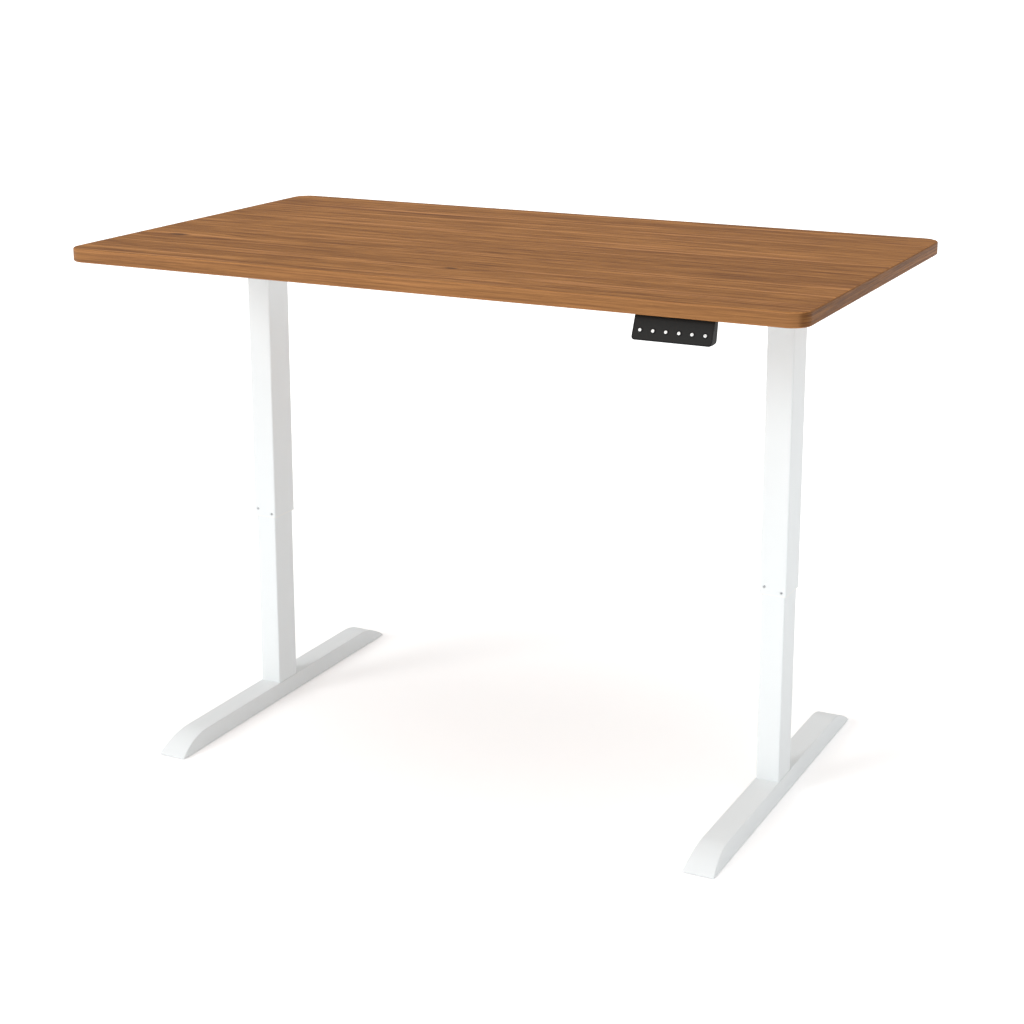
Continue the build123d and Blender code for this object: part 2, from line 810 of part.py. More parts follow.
def face_slab():
    slab = Box(2 * handset_width, 2 * handset_width, handset_wall)
    return face_plane * Pos(0, 0, -handset_wall / 2) * slab


def make_handset_face():
    panel = handset_form(0) & face_slab()
    for step in button_steps:
        panel -= on_face(step, -handset_wall, 0, button_radius + slide_gap)
    return panel


def make_handset_housing():
    shell = handset_form(0) - face_slab()
    shell -= handset_form(handset_wall)
    half_ear = handset_width / 2 - handset_corner
    ear = span_box(handset_x - half_ear, handset_x + half_ear,
                   handset_back_y - handset_wall / 2, handset_back_y + handset_ear_depth,
                   underside - handset_ear_thickness, underside)
    shell += ear
    for x, y in handset_screw_places():
        shell -= Pos(x, y, 0) * rod_z(wood_screw_radius + screw_gap, underside - handset_ear_thickness,
                                      underside)
    return shell


def make_handset_board():
    """The circuit board across the housing, with a switch behind each button."""
    slab = face_plane * Pos(0, 0, -board_depth - board_thickness / 2) * Box(
        handset_width, 2 * handset_face_length, board_thickness)
    board = handset_form(handset_wall) & slab
    for step in button_steps:
        board += on_face(step, -board_depth, -board_depth + switch_height, switch_radius)
    return board


def make_button_ring(step):
    ring = on_face(step, 0, ring_rise, ring_radius)
    return ring - on_face(step, 0, ring_rise, button_radius + slide_gap)


def make_button(step):
    flange_top = -handset_wall - slide_gap
    stem_end = -board_depth + switch_height + button_travel + button_stop_gap
    cap = on_face(step, stem_end, button_rise, button_radius)
    rim = cap.edges().sort_by(lambda edge: edge.center().dot(face_normal))[-1]
    cap = fillet(rim, button_round)
    return cap + on_face(step, flange_top - button_flange_thickness, flange_top, button_flange_radius)


# ---- write every piece

def leg_place(side):
    return Pos(leg_x[side], leg_y, 0)


write("desktop", make_desktop())
write("desktop_screws", *make_desktop_screws())
for name, step in rail_steps.items():
    write(f"{name}_rail", make_rail(step))
write("rail_bolts", *[make_rail_bolt(x, step) for x in leg_x.values() for step in rail_steps.values()])

for side in ("left", "right"):
    place = leg_place(side)
    write(f"{side}_bracket", place * make_bracket())
    write(f"{side}_outer_tube", place * make_outer_tube(side))
    write(f"{side}_inner_tube", place * make_inner_tube())
    write(f"{side}_upper_glide", place * make_upper_glide())
    write(f"{side}_spindle_nut", place * make_spindle_nut())
    write(f"{side}_tube_base", place * make_tube_base())
    write(f"{side}_foot", place * make_foot())
    write(f"{side}_foot_bolts", *[place * make_foot_bolt(x, y) for x, y in foot_bolt_places()])
    write(f"{side}_nut_bars", *[place * make_nut_bar(end) for end in (-1, 1)])
    write(f"{side}_front_leveller", place * make_leveller(-1))
    write(f"{side}_rear_leveller", place * make_leveller(1))
    write(f"{side}_gear_case", place * make_gear_case(side))
    write(f"{side}_spindle", place * make_spindle())
    write(f"{side}_spindle_gear", place * make_spindle_gear())

legs = [leg_place(side) for side in ("left", "right")]
write("lower_glides", *[place * make_lower_glide() for place in legs])
write("glide_screws", *[place * make_glide_screw(spot) for place in legs for spot in glide_screw_spots()])
write("gear_case_caps", *[place * make_gear_case_cap() for place in legs])
bearings = [make_spindle_bearing(), make_shaft_bearing()]
write("gearbox_bearings", *[place * bearing for place in legs for bearing in bearings])
write("shaft_gears", *[place * make_shaft_gear() for place in legs])
write("drive_shaft", make_drive_shaft())

write("motor_plate", make_motor_plate())
write("reduction_case", make_reduction_case())
write("reduction_cover", make_reduction_cover())
write("reduction_gear", make_reduction_gear())
write("motor_can", make_motor_can())
write("motor_rotor", make_motor_rotor())

write("control_base", make_control_base())
write("control_lid", make_control_lid())
write("control_board", make_control_board())
write("mains_inlet", make_mains_inlet())
write("cable_sockets", *[make_cable_socket(index) for index in (0, 1)])

write("handset_housing", make_handset_housing())
write("handset_face", make_handset_face())
write("handset_board", make_handset_board())
write("button_rings", *[make_button_ring(step) for step in button_steps])
for number, step in enumerate(button_steps, start=1):
    write(f"button_{number}", make_button(step))
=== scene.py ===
import bpy
import bmesh
import math
from mathutils import Matrix, Vector


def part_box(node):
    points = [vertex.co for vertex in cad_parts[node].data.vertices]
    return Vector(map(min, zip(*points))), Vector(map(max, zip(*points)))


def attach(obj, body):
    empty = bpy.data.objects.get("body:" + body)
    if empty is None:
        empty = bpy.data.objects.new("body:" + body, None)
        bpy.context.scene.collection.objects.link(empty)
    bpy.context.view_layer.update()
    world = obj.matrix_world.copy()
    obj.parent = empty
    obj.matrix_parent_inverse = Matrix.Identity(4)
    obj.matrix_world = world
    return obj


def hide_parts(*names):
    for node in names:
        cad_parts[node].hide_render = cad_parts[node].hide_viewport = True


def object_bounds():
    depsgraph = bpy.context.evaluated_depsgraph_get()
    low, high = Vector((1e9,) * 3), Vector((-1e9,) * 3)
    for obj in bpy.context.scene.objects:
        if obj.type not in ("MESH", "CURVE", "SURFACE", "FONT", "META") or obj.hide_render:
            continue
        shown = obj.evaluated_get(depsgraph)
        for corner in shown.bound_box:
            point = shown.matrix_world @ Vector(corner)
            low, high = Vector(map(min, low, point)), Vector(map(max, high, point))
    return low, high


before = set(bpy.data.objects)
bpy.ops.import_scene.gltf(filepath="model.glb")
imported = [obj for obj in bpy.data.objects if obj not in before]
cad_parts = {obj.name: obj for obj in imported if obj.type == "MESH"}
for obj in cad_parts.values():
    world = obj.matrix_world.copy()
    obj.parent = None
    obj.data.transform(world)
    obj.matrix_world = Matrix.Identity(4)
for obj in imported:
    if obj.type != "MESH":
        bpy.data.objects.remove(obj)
cadLow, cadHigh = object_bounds()
print("frame loaded,", len(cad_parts), "pieces")


class Wire:
    # a node socket that Python's operators work on; one with no socket starts a tree
    def __init__(self, tree, socket=None):
        self.tree = tree
        self.socket = socket

    # the one way a node is made: settings first, then the values or links of its sockets
    def node(self, kind, settings=None, sockets=None, output=0):
        made = self.tree.nodes.new(kind)
        for name, value in (settings or {}).items():
            if name == "stops":
                self.fillRamp(made.color_ramp, value)
            else:
                setattr(made, name, value)
        for name, value in (sockets or {}).items():
            # a list holds the wires of a socket that takes several, last one linked first
            for part in reversed(value if isinstance(value, list) else [value]):
                if isinstance(part, Wire):
                    self.tree.links.new(part.socket, made.inputs[name])
                else:
                    made.inputs[name].default_value = part
        return Wire(self.tree, made.outputs[output]) if made.outputs else None

    def fillRamp(self, ramp, stops):
        while len(ramp.elements) < len(stops):
            ramp.elements.new(1.0)
        for element, (place, colour) in zip(ramp.elements, stops):
            element.position = place
            element.color = (*colour, 1.0)

    def math(self, operation, *values):
        return self.node("ShaderNodeMath", {"operation": operation}, dict(enumerate(values)))

    def __add__(self, other):
        return self.math("ADD", self, other)

    def __radd__(self, other):
        return self.math("ADD", other, self)

    def __sub__(self, other):
        return self.math("SUBTRACT", self, other)

    def __rsub__(self, other):
        return self.math("SUBTRACT", other, self)

    def __mul__(self, other):
        return self.math("MULTIPLY", self, other)

    def __rmul__(self, other):
        return self.math("MULTIPLY", other, self)

    def __truediv__(self, other):
        return self.math("DIVIDE", self, other)

    def __rtruediv__(self, other):
        return self.math("DIVIDE", other, self)

    def __abs__(self):
        return self.math("ABSOLUTE", self)

    # 0 below low, 1 above high, smooth between
    def smooth(self, low, high):
        settings = {"interpolation_type": "SMOOTHSTEP"}
        sockets = {"Value": self, "From Min": low, "From Max": high}
        return self.node("ShaderNodeMapRange", settings, sockets)

    # from low to high as the value goes from 0 to 1
    def between(self, low, high):
        return self.node("ShaderNodeMapRange", None, {"Value": self, "To Min": low, "To Max": high})

    # several shapes joined into one
    def gather(self, *shapes):
        return self.node("GeometryNodeJoinGeometry", None, {0: list(shapes)})

    def split(self):
        parts = self.node("ShaderNodeSeparateXYZ", None, {0: self})
        outputs = parts.socket.node.outputs
        return [Wire(self.tree, socket) for socket in outputs]

    def join(self, x, y, z):
        return self.node("ShaderNodeCombineXYZ", None, {0: x, 1: y, 2: z})

    def stretch(self, scale, offset=(0, 0, 0)):
        sockets = {"Vector": self, "Scale": scale, "Location": offset}
        return self.node("ShaderNodeMapping", None, sockets)

    def noise(self, scale, detail=2.0, roughness=0.5, distortion=0.0):
        sockets = {"Vector": self, "Scale": scale, "Detail": detail}
        sockets.update({"Roughness": roughness, "Distortion": distortion})
        return self.node("ShaderNodeTexNoise", None, sockets)

    # a blend of two colours by a factor
    def tint(self, first, second, factor, blend="MIX"):
        settings = {"data_type": "RGBA", "blend_type": blend, "clamp_factor": True}
        return self.node("ShaderNodeMix", settings, {0: factor, 6: first, 7: second}, 2)


# linear light from a colour as it is seen on a screen
def rgb(red, green, blue):
    parts = []
    for value in (red, green, blue):
        share = value / 255
        parts.append(share / 12.92 if share <= 0.04045 else ((share + 0.055) / 1.055) ** 2.4)
    return (*parts, 1.0)


# a new material with its shader, whose constant values are given by socket name
def startMaterial(name, shader):
    material = bpy.data.materials.new(name)
    material.use_nodes = True
    tree = material.node_tree
    tree.nodes.clear()
    wire = Wire(tree)
    place = wire.node("ShaderNodeTexCoord", None, None, "Object")
    body = wire.node("ShaderNodeBsdfPrincipled", None, shader)
    wire.node("ShaderNodeOutputMaterial", None, {"Surface": body})
    return material, place, body


# links what changes over the surface to the shader's sockets
def dress(body, colour, roughness, height=None, bump=0.0, reach=0.0):
    sockets = body.socket.node.inputs
    links = body.tree.links
    links.new(colour.socket, sockets["Base Color"])
    links.new(roughness.socket, sockets["Roughness"])
    if height is not None:
        raised = body.node("ShaderNodeBump", None, {"Height": height, "Strength": bump, "Distance": reach})
        links.new(raised.socket, sockets["Normal"])


# the veneer: colours, then what each noise of the grain is like and how much it counts
woodLook = {
    "dark": rgb(112, 68, 30),
    "base": rgb(143, 94, 45),
    "light": rgb(170, 116, 62),
    "pore": rgb(86, 50, 24),
    # the colour of light grain streaks, also used for a painted highlight along the arrises
    "brightStreakAndHighlight": rgb(196, 136, 84),
    "knot": rgb(64, 36, 18),
    "edgeTone": rgb(140, 100, 66),
    # a painted shade that darkens the board's ends, as if they were turned away from the light
    "paintedEndShade": rgb(178, 168, 144),
    # where the dark, base and light colours stand on the scale of tones
    "tones": (0.20, 0.50, 0.80),
    # stretch along x, y, z, where the noise starts, detail and roughness
    "grains": {
        "wide": ((0.55, 8.0, 8.0), (0.0, 0.0, 0.0), 3.0, 0.55),
        "middle": ((2.4, 66.0, 66.0), (0.0, 0.0, 0.0), 4.0, 0.6),
        "fine": ((9.0, 250.0, 250.0), (0.0, 0.0, 0.0), 4.0, 0.65),
        "fibre": ((26.0, 1100.0, 1100.0), (0.0, 0.0, 0.0), 2.0, 0.6),
        "streak": ((1.7, 92.0, 92.0), (4.0, 0.0, 0.0), 3.0, 0.5),
        "vein": ((0.8, 30.0, 30.0), (9.0, 5.0, 0.0), 3.0, 0.5),
        "pores": ((42.0, 950.0, 950.0), (2.0, 0.0, 7.0), 1.0, 0.5),
        "layer": ((4.0, 60.0, 520.0), (3.0, 1.0, 2.0), 3.0, 0.6),
    },
    "toneShares": {"wide": 0.50, "middle": 1.10, "fine": 2.10, "fibre": 0.40},
    "toneDrop": 1.55,
    "layerShare": 1.1,
    # the strip on the edges is cut from this far off, and its layers lie closer together
    "edgeStrip": 3.0,
    "edgePack": 1.6,
    # how far the grain wanders from side to side, and up and down
    "drift": (0.9, 2.2, 2.2),
    "wander": 0.030,
    "lift": 0.004,
    # each knot's place and size; its reach and its core are shares of its size
    "knots": ((-0.61, -0.175, 0.017), (0.03, -0.28, 0.011)),
    "knotNarrow": 0.45,
    "knotBend": -0.55,
    "knotReach": (0.5, 5.0),
    "knotCore": (0.15, 0.9),
    # where each mark begins and is complete, and how strong it is
    "streaks": (0.55, 0.68),
    "veins": (0.58, 0.74),
    "poreHoles": (0.60, 0.70),
    "poreFibres": (0.35, 0.7),
    "streakShare": 0.70,
    "streakLoss": 0.40,
    "veinShare": 0.55,
    "poreShare": 0.40,
    "knotShare": 0.85,
    # how steep a face is where it counts as an end, an edge or a front, or as an arris
    "endFace": (0.55, 0.8),
    "edgeFace": (0.2, 0.7),
    "frontFace": (0.5, 0.8),
    "arrisFace": ((0.10, 0.40), (0.80, 0.99)),
    # how much painted shade the ends take
    "paintedShadeShare": 0.75,
    "frontShare": 0.45,
    # how strong the painted highlight along the arrises is
    "arrisHighlightShare": 0.22,
    # fine grain and pores in the roughness; fine grain, fibres and pores in the height
    "roughShares": (0.6, 0.5),
    "heightShares": (0.5, 0.3, 0.6),
    "roughness": (0.50, 0.66),
    "bump": 0.25,
    "bumpReach": 0.0004,
}


# grain coordinates: the edges carry their own strip of veneer, whose grain runs round the board
def grainPlace(look, place, edgeFace):
    x, y, z = place.split()
    turned = place.join(x + y, look["edgeStrip"], z)
    along = place.node("ShaderNodeMix", {"data_type": "VECTOR"}, {0: edgeFace, 4: place, 5: turned}, 1)
    drift = along.stretch(look["drift"]).noise(1.0, 2.0) - 0.5
    bend = drift * look["wander"]
    knotMask = None
    for knotX, knotY, size in look["knots"]:
        across = y - knotY
        lengthwise = (x - knotX) * look["knotNarrow"]
        squared = lengthwise * lengthwise + across * across
        distance = squared.math("SQRT", squared)
        near = 1.0 - distance.smooth(*(size * share for share in look["knotReach"]))
        bend = bend + near * across * look["knotBend"]
        core = 1.0 - distance.smooth(*(size * share for share in look["knotCore"]))
        knotMask = core if knotMask is None else knotMask.math("MAXIMUM", knotMask, core)
    ax, ay, az = along.split()
    grain = place.join(ax, ay + bend, az * (1.0 + edgeFace * look["edgePack"]) + drift * look["lift"])
    return grain, knotMask


def makeWood(look):
    material, place, body = startMaterial("deskWood", {"Specular IOR Level": 0.16})
    # how far a point faces an end, the front or the back, and up or down
    face = [abs(part) for part in place.node("ShaderNodeNewGeometry", None, None, "Normal").split()]
    endFace = face[0].smooth(*look["endFace"])
    edgeFace = 1.0 - face[2].smooth(*look["edgeFace"])
    frontFace = face[1].smooth(*look["frontFace"])
    # the rounded arrises between the edges and the top and bottom, where a painted highlight goes
    arrisLow, arrisHigh = look["arrisFace"]
    arris = face[2].smooth(*arrisLow) * (1.0 - face[2].smooth(*arrisHigh))
    grain, knotMask = grainPlace(look, place, edgeFace)
    noises = {}
    for grainName, (scale, offset, detail, rough) in look["grains"].items():
        noises[grainName] = grain.stretch(scale, offset).noise(1.0, detail, rough)
    tone = (noises["layer"] - 0.5) * edgeFace * look["layerShare"] - look["toneDrop"]
    for grainName, share in look["toneShares"].items():
        tone = tone + noises[grainName] * share
    shades = (look["dark"], look["base"], look["light"])
    stops = [(height, shade[:3]) for height, shade in zip(look["tones"], shades)]
    colour = place.node("ShaderNodeValToRGB", {"stops": stops}, {"Fac": tone})
    colour = place.tint(colour, look["edgeTone"], frontFace * look["frontShare"])
    streakShare = look["streakShare"] - frontFace * look["streakLoss"]
    colour = place.tint(colour, look["brightStreakAndHighlight"], noises["streak"].smooth(*look["streaks"]) * streakShare)
    colour = place.tint(colour, look["dark"], noises["vein"].smooth(*look["veins"]) * look["veinShare"])
    pores = noises["pores"].smooth(*look["poreHoles"])
    poreMask = pores * noises["fibre"].smooth(*look["poreFibres"])
    colour = place.tint(colour, look["pore"], poreMask * look["poreShare"])
    colour = place.tint(colour, look["knot"], knotMask * look["knotShare"])
    # painted highlight along the rounded arrises
    colour = place.tint(colour, look["brightStreakAndHighlight"], arris * look["arrisHighlightShare"])
    # painted shade: the board's ends are multiplied darker
    colour = place.tint(colour, look["paintedEndShade"], endFace * look["paintedShadeShare"], "MULTIPLY")
    finePart, porePart = look["roughShares"]
    roughness = (noises["fine"] * finePart + pores * porePart).between(*look["roughness"])
    finePart, fibrePart, porePart = look["heightShares"]
    height = noises["fine"] * finePart + noises["fibre"] * fibrePart - pores * porePart
    dress(body, colour, roughness, height, look["bump"], look["bumpReach"])
    return material


# white powder coat: orange peel, finer grit and faint clouds, each as so many to a metre
coatLook = {
    "colour": rgb(233, 237, 238),
    "shade": rgb(227, 231, 232),
    "peel": 850.0,
    "grit": 2600.0,
    "cloud": 9.0,
    "cloudShare": 0.6,
    "roughness": (0.36, 0.50),
    "bump": 0.12,
    "bumpReach": 0.0002,
}


def makePowderCoat(look):
    material, place, body = startMaterial("whitePowderCoat", {"Specular IOR Level": 0.25})
    peel = place.noise(look["peel"], 2.0, 0.5)
    grit = place.noise(look["grit"], 1.0, 0.5)
    cloud = place.noise(look["cloud"], 3.0, 0.55)
    peelShare = 1.0 - look["cloudShare"]
    colour = place.tint(look["shade"], look["colour"], cloud * look["cloudShare"] + peel * peelShare)
    roughness = (peel * 0.6 + cloud * 0.4).between(*look["roughness"])
    dress(body, colour, roughness, peel + grit * 0.4, look["bump"], look["bumpReach"])
    return material


# moulded plastics: colour, its darker shade, roughness from and to, grain per metre, bump
plasticLooks = {
    "blackPlastic": (rgb(27, 26, 24), rgb(13, 12, 11), (0.50, 0.64), 900.0, 0.30),
    "blackAcetal": (rgb(44, 44, 44), rgb(34, 34, 34), (0.34, 0.46), 1200.0, 0.06),
    "whiteAcetal": (rgb(240, 241, 239), rgb(230, 231, 228), (0.34, 0.48), 1100.0, 0.05),
    "rimBlack": (rgb(7, 7, 7), rgb(4, 4, 4), (0.42, 0.55), 1600.0, 0.10),
    "ringGloss": (rgb(6, 6, 6), rgb(3, 3, 3), (0.35, 0.45), 500.0, 0.02),
    "buttonWhite": (rgb(247, 247, 245), rgb(236, 236, 234), (0.22, 0.32), 900.0, 0.03),
    "iconGrey": (rgb(150, 150, 148), rgb(136, 136, 134), (0.40, 0.50), 900.0, 0.02),
    "footRubber": (rgb(40, 40, 40), rgb(30, 30, 30), (0.70, 0.85), 1500.0, 0.20),
}


# clouds of colour to a metre in plastics and in metals, and the metals' crystal spangle
cloudScale = {"plastic": 24.0, "metal": 34.0, "spangle": 160.0}
# how deep their grain is
bumpReach = 0.0003


def makePlastic(name, look):
    colour, shade, roughness, grainScale, bump = look
    material, place, body = startMaterial(name, {"Specular IOR Level": 0.22})
    grain = place.noise(grainScale, 2.0, 0.55)
    flow = place.noise(cloudScale["plastic"], 3.0, 0.5, 0.4)
    mixed = place.tint(shade, colour, flow * 0.5 + grain * 0.5)
    dress(body, mixed, (grain * 0.7 + flow * 0.3).between(*roughness), grain, bump, bumpReach)
    return material


# metals: colour, its darker shade, roughness from and to, metallic, brushing along x, y, z, bump
metalLooks = {
    "zincSteel": (rgb(196, 198, 200), rgb(160, 163, 168), (0.26, 0.42), 1.0, (60.0, 60.0, 60.0), 0.06),
    "gearSteel": (rgb(150, 151, 154), rgb(104, 104, 108), (0.22, 0.40), 1.0, (900.0, 60.0, 60.0), 0.10),
    "bearingSteel": (rgb(214, 214, 218), rgb(186, 186, 190), (0.10, 0.20), 1.0, (90.0, 500.0, 500.0), 0.04),
    "castAlloy": (rgb(186, 188, 190), rgb(150, 152, 155), (0.44, 0.62), 1.0, (420.0, 420.0, 420.0), 0.30),
    "blackEnamel": (rgb(48, 48, 50), rgb(34, 34, 36), (0.26, 0.38), 0.0, (380.0, 380.0, 380.0), 0.10),
}


def makeMetal(name, look):
    colour, shade, roughness, metallic, brushing, bump = look
    material, place, body = startMaterial(name, {"Metallic": metallic})
    brush = place.stretch(brushing).noise(1.0, 3.0, 0.6)
    cloud = place.noise(cloudScale["metal"], 4.0, 0.6)
    cells = {"Vector": place, "Scale": cloudScale["spangle"]}
    spangle = place.node("ShaderNodeTexVoronoi", None, cells, "Distance")
    mixed = place.tint(shade, colour, cloud * 0.5 + brush * 0.3 + spangle * 0.2)
    dress(body, mixed, (brush * 0.6 + cloud * 0.4).between(*roughness), brush, bump, bumpReach)
    return material


laminateLook = {
    "green": rgb(24, 92, 52),
    "shade": rgb(20, 74, 42),
    "track": rgb(46, 128, 78),
    "weave": 900.0,
    "tracks": 140.0,
    "trackEdge": (0.04, 0.09),
    "roughness": (0.3, 0.45),
    "bump": 0.05,
    "bumpReach": 0.0002,
}


# circuit board: woven glass under green lacquer, with tracks that branch at right angles
def makeBoardLaminate(look):
    material, place, body = startMaterial("boardLaminate", {"Coat Weight": 0.3, "Coat Roughness": 0.2})
    weave = place.noise(look["weave"], 1.0)
    settings = {"distance": "MANHATTAN", "feature": "DISTANCE_TO_EDGE"}
    cells = {"Vector": place, "Scale": look["tracks"]}
    tracks = place.node("ShaderNodeTexVoronoi", settings, cells, "Distance")
    colour = place.tint(look["green"], look["shade"], weave)
    colour = place.tint(colour, look["track"], 1.0 - tracks.smooth(*look["trackEdge"]))
    dress(body, colour, weave.between(*look["roughness"]), tracks, look["bump"], look["bumpReach"])
    return material


materials = {"deskWood": makeWood(woodLook), "whitePowderCoat": makePowderCoat(coatLook)}
for materialName, materialLook in plasticLooks.items():
    materials[materialName] = makePlastic(materialName, materialLook)
for materialName, materialLook in metalLooks.items():
    materials[materialName] = makeMetal(materialName, materialLook)
materials["boardLaminate"] = makeBoardLaminate(laminateLook)
print("materials made,", len(materials))

# which finish each material slot of the record takes
slotFinish = {
    "desktop_board": "deskWood",
    "white_frame": "whitePowderCoat",
    "steel_parts": "zincSteel",
    "gear_steel": "gearSteel",
    "bearing_steel": "bearingSteel",
    "case_metal": "castAlloy",
    "motor_steel": "blackEnamel",
    "guide_plastic": "whiteAcetal",
    "nut_plastic": "blackAcetal",
    "black_plastic": "blackPlastic",
    "ring_plastic": "ringGloss",
    "button_plastic": "buttonWhite",
    "circuit_board": "boardLaminate",
    "leveller_rubber": "footRubber",
}


# gives each CAD piece the finish of its material slot
def dressNodes():
    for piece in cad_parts.values():
        slotName = piece.material_slots[0].material.name if piece.material_slots else ""
        finish = slotFinish.get(slotName.split(".")[0], "whitePowderCoat")
        for spot in piece.material_slots:
            spot.material = materials[finish]


dressNodes()

# the kind of input that a value of a piece's dictionary becomes
socketKinds = {float: "NodeSocketFloat", int: "NodeSocketInt"}
# points nearer than this are one
seamReach = 1e-6
# shading breaks at edges sharper than so many degrees
creases = {"slab": 40.0, "head": 30.0, "rim": 50.0, "round": 60.0, "symbol": 30.0}


# runs a node tree once on some points and edges, and keeps the finished mesh
def grow(name, build, inputs, finish, points=(), edges=()):
    tree = bpy.data.node_groups.new(name, "GeometryNodeTree")
    tree.interface.new_socket("Shape", in_out="OUTPUT", socket_type="NodeSocketGeometry")
    tree.interface.new_socket("spots", in_out="INPUT", socket_type="NodeSocketGeometry")
    keys = {}
    for key, value in inputs.items():
        entry = tree.interface.new_socket(key, in_out="INPUT", socket_type=socketKinds[type(value)])
        keys[key] = entry.identifier
    entry = tree.interface.new_socket("finish", in_out="INPUT", socket_type="NodeSocketMaterial")
    start = Wire(tree)
    group = start.node("NodeGroupInput").socket.node
    given = {socket.name: Wire(tree, socket) for socket in group.outputs if socket.name}
    shape = build(start, given)
    shape = start.node("GeometryNodeRealizeInstances", None, {0: shape})
    shape = start.node("GeometryNodeSetMaterial", None, {0: shape, "Material": given["finish"]})
    start.node("NodeGroupOutput", None, {0: shape})
    spots = bpy.data.meshes.new(name + "Spots")
    spots.from_pydata(list(points), list(edges), [])
    carrier = bpy.data.objects.new(name + "Spots", spots)
    bpy.context.scene.collection.objects.link(carrier)
    modifier = carrier.modifiers.new(name, "NODES")
    modifier.node_group = tree
    for key, value in inputs.items():
        modifier[keys[key]] = value
    modifier[entry.identifier] = materials[finish]
    carrier.update_tag()
    bpy.context.view_layer.update()
    evaluated = carrier.evaluated_get(bpy.context.evaluated_depsgraph_get())
    mesh = bpy.data.meshes.new_from_object(evaluated)
    mesh.name = name
    bpy.data.objects.remove(carrier)
    shaped = bpy.data.objects.new(name, mesh)
    bpy.context.scene.collection.objects.link(shaped)
    return shaped


# closes the seams, turns the normals outward and shades smooth below the crease's angle
def settle(piece, crease, matrix=None):
    form = bmesh.new()
    form.from_mesh(piece.data)
    bmesh.ops.remove_doubles(form, verts=form.verts, dist=seamReach)
    bmesh.ops.recalc_face_normals(form, faces=form.faces)
    if matrix is not None:
        form.transform(matrix)
    sharpest = math.radians(creases[crease])
    for face in form.faces:
        face.smooth = True
    for edge in form.edges:
        sharp = len(edge.link_faces) == 2 and edge.calc_face_angle(0.0) > sharpest
        edge.smooth = not sharp
    form.to_mesh(piece.data)
    form.free()


# the separate solids of a CAD piece, as boxes from low to high
def solidsOf(node):
    form = bmesh.new()
    form.from_mesh(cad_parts[node].data)
    bmesh.ops.remove_doubles(form, verts=form.verts, dist=seamReach)
    waiting = set(form.verts)
    boxes = []
    while waiting:
        front = [waiting.pop()]
        found = []
        while front:
            vertex = front.pop()
            found.append(vertex.co.copy())
            for edge in vertex.link_edges:
                other = edge.other_vert(vertex)
                if other in waiting:
                    waiting.remove(other)
                    front.append(other)
        low = Vector(map(min, zip(*found)))
        high = Vector(map(max, zip(*found)))
        boxes.append((low, high))
    form.free()
    return sorted(boxes, key=lambda box: tuple(box[0]))


# how near the points of a slab's caps lie to those of its rim
slabSeam = 0.00002
# how far in from a slab's corner its path lies, as a share of the corner's radius
insetShare = 0.2


# a board with rounded corners and rounded arrises: an edge profile swept round a path that lies
# a little inside the outline, with a flat cap above and below
def growSlab(start, given):
    inset = given["corner"] * insetShare + given["arris"]
    sides = {"Width": given["width"] - inset * 2.0, "Height": given["depth"] - inset * 2.0}
    outline = start.node("GeometryNodeCurvePrimitiveQuadrilateral", None, sides)
    rounded = {"Curve": outline, "Count": given["cornerSteps"], "Radius": given["corner"] - inset}
    path = start.node("GeometryNodeFilletCurve", {"mode": "POLY"}, rounded)
    # the profile is a straight line at first: flank in the middle, then arris, then flat
    half = given["thick"] * 0.5
    flank = half - given["arris"]
    arc = given["arris"] * (math.pi / 2)
    flat = inset - given["arris"]
    reach = flank + arc + flat
    ends = {"Start": start.join(-1.0 * reach, 0.0, 0.0), "End": start.join(reach, 0.0, 0.0)}
    line = start.node("GeometryNodeCurvePrimitiveLine", None, ends)
    line = start.node("GeometryNodeResampleCurve", None, {"Curve": line, "Count": given["profileSteps"]})
    # each point of the line is then bent to its place by how far along it lies
    along = start.node("GeometryNodeInputPosition").split()[0]
    distance = abs(along)
    angle = (distance - flank) / given["arris"]
    angle = angle.math("MAXIMUM", angle, 0.0)
    angle = angle.math("MINIMUM", angle, math.pi / 2)
    rise = distance.math("MINIMUM", distance, flank) + given["arris"] * angle.math("SINE", angle)
    rise = rise * along.math("SIGN", along)
    past = distance - flank - arc
    out = flat + given["arris"] * angle.math("COSINE", angle) - past.math("MAXIMUM", past, 0.0)
    bent = {"Geometry": line, "Position": start.join(out, rise, 0.0)}
    profile = start.node("GeometryNodeSetPosition", None, bent)
    rim = start.node("GeometryNodeCurveToMesh", None, {"Curve": path, "Profile Curve": profile})
    cap = start.node("GeometryNodeFillCurve", {"mode": "NGONS"}, {"Curve": path})
    upper = {"Geometry": cap, "Translation": start.join(0.0, 0.0, half)}
    lower = {"Geometry": cap, "Translation": start.join(0.0, 0.0, -1.0 * half)}
    upper = start.node("GeometryNodeTransform", None, upper)
    lower = start.node("GeometryNodeTransform", None, lower)
    sockets = {"Geometry": start.gather(rim, upper, lower), "Distance": slabSeam}
    return start.node("GeometryNodeMergeByDistance", None, sockets)


# clearance keeps the board's faces just inside its size
desktopShape = {
    "cornerShare": 0.0438,
    "arris": 0.003,
    "clearance": 1e-6,
    "cornerSteps": 14,
    "profileSteps": 64,
}


def makeDesktop(look):
    low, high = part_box("desktop")
    size = high - low
    inputs = {
        "width": size.x,
        "depth": size.y,
        "thick": size.z - 2 * look["clearance"],
        "corner": size.y * look["cornerShare"],
        "arris": look["arris"],
        "cornerSteps": look["cornerSteps"],
        "profileSteps": look["profileSteps"],
    }
    board = grow("desktopBoard", growSlab, inputs, "deskWood")
    settle(board, "slab", Matrix.Translation((low + high) / 2))
    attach(board, "top")
    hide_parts("desktop")


makeDesktop(desktopShape)
print("desktop ready")

# a driven head ends anywhere within this turn, in radians
halfTurn = 3.14
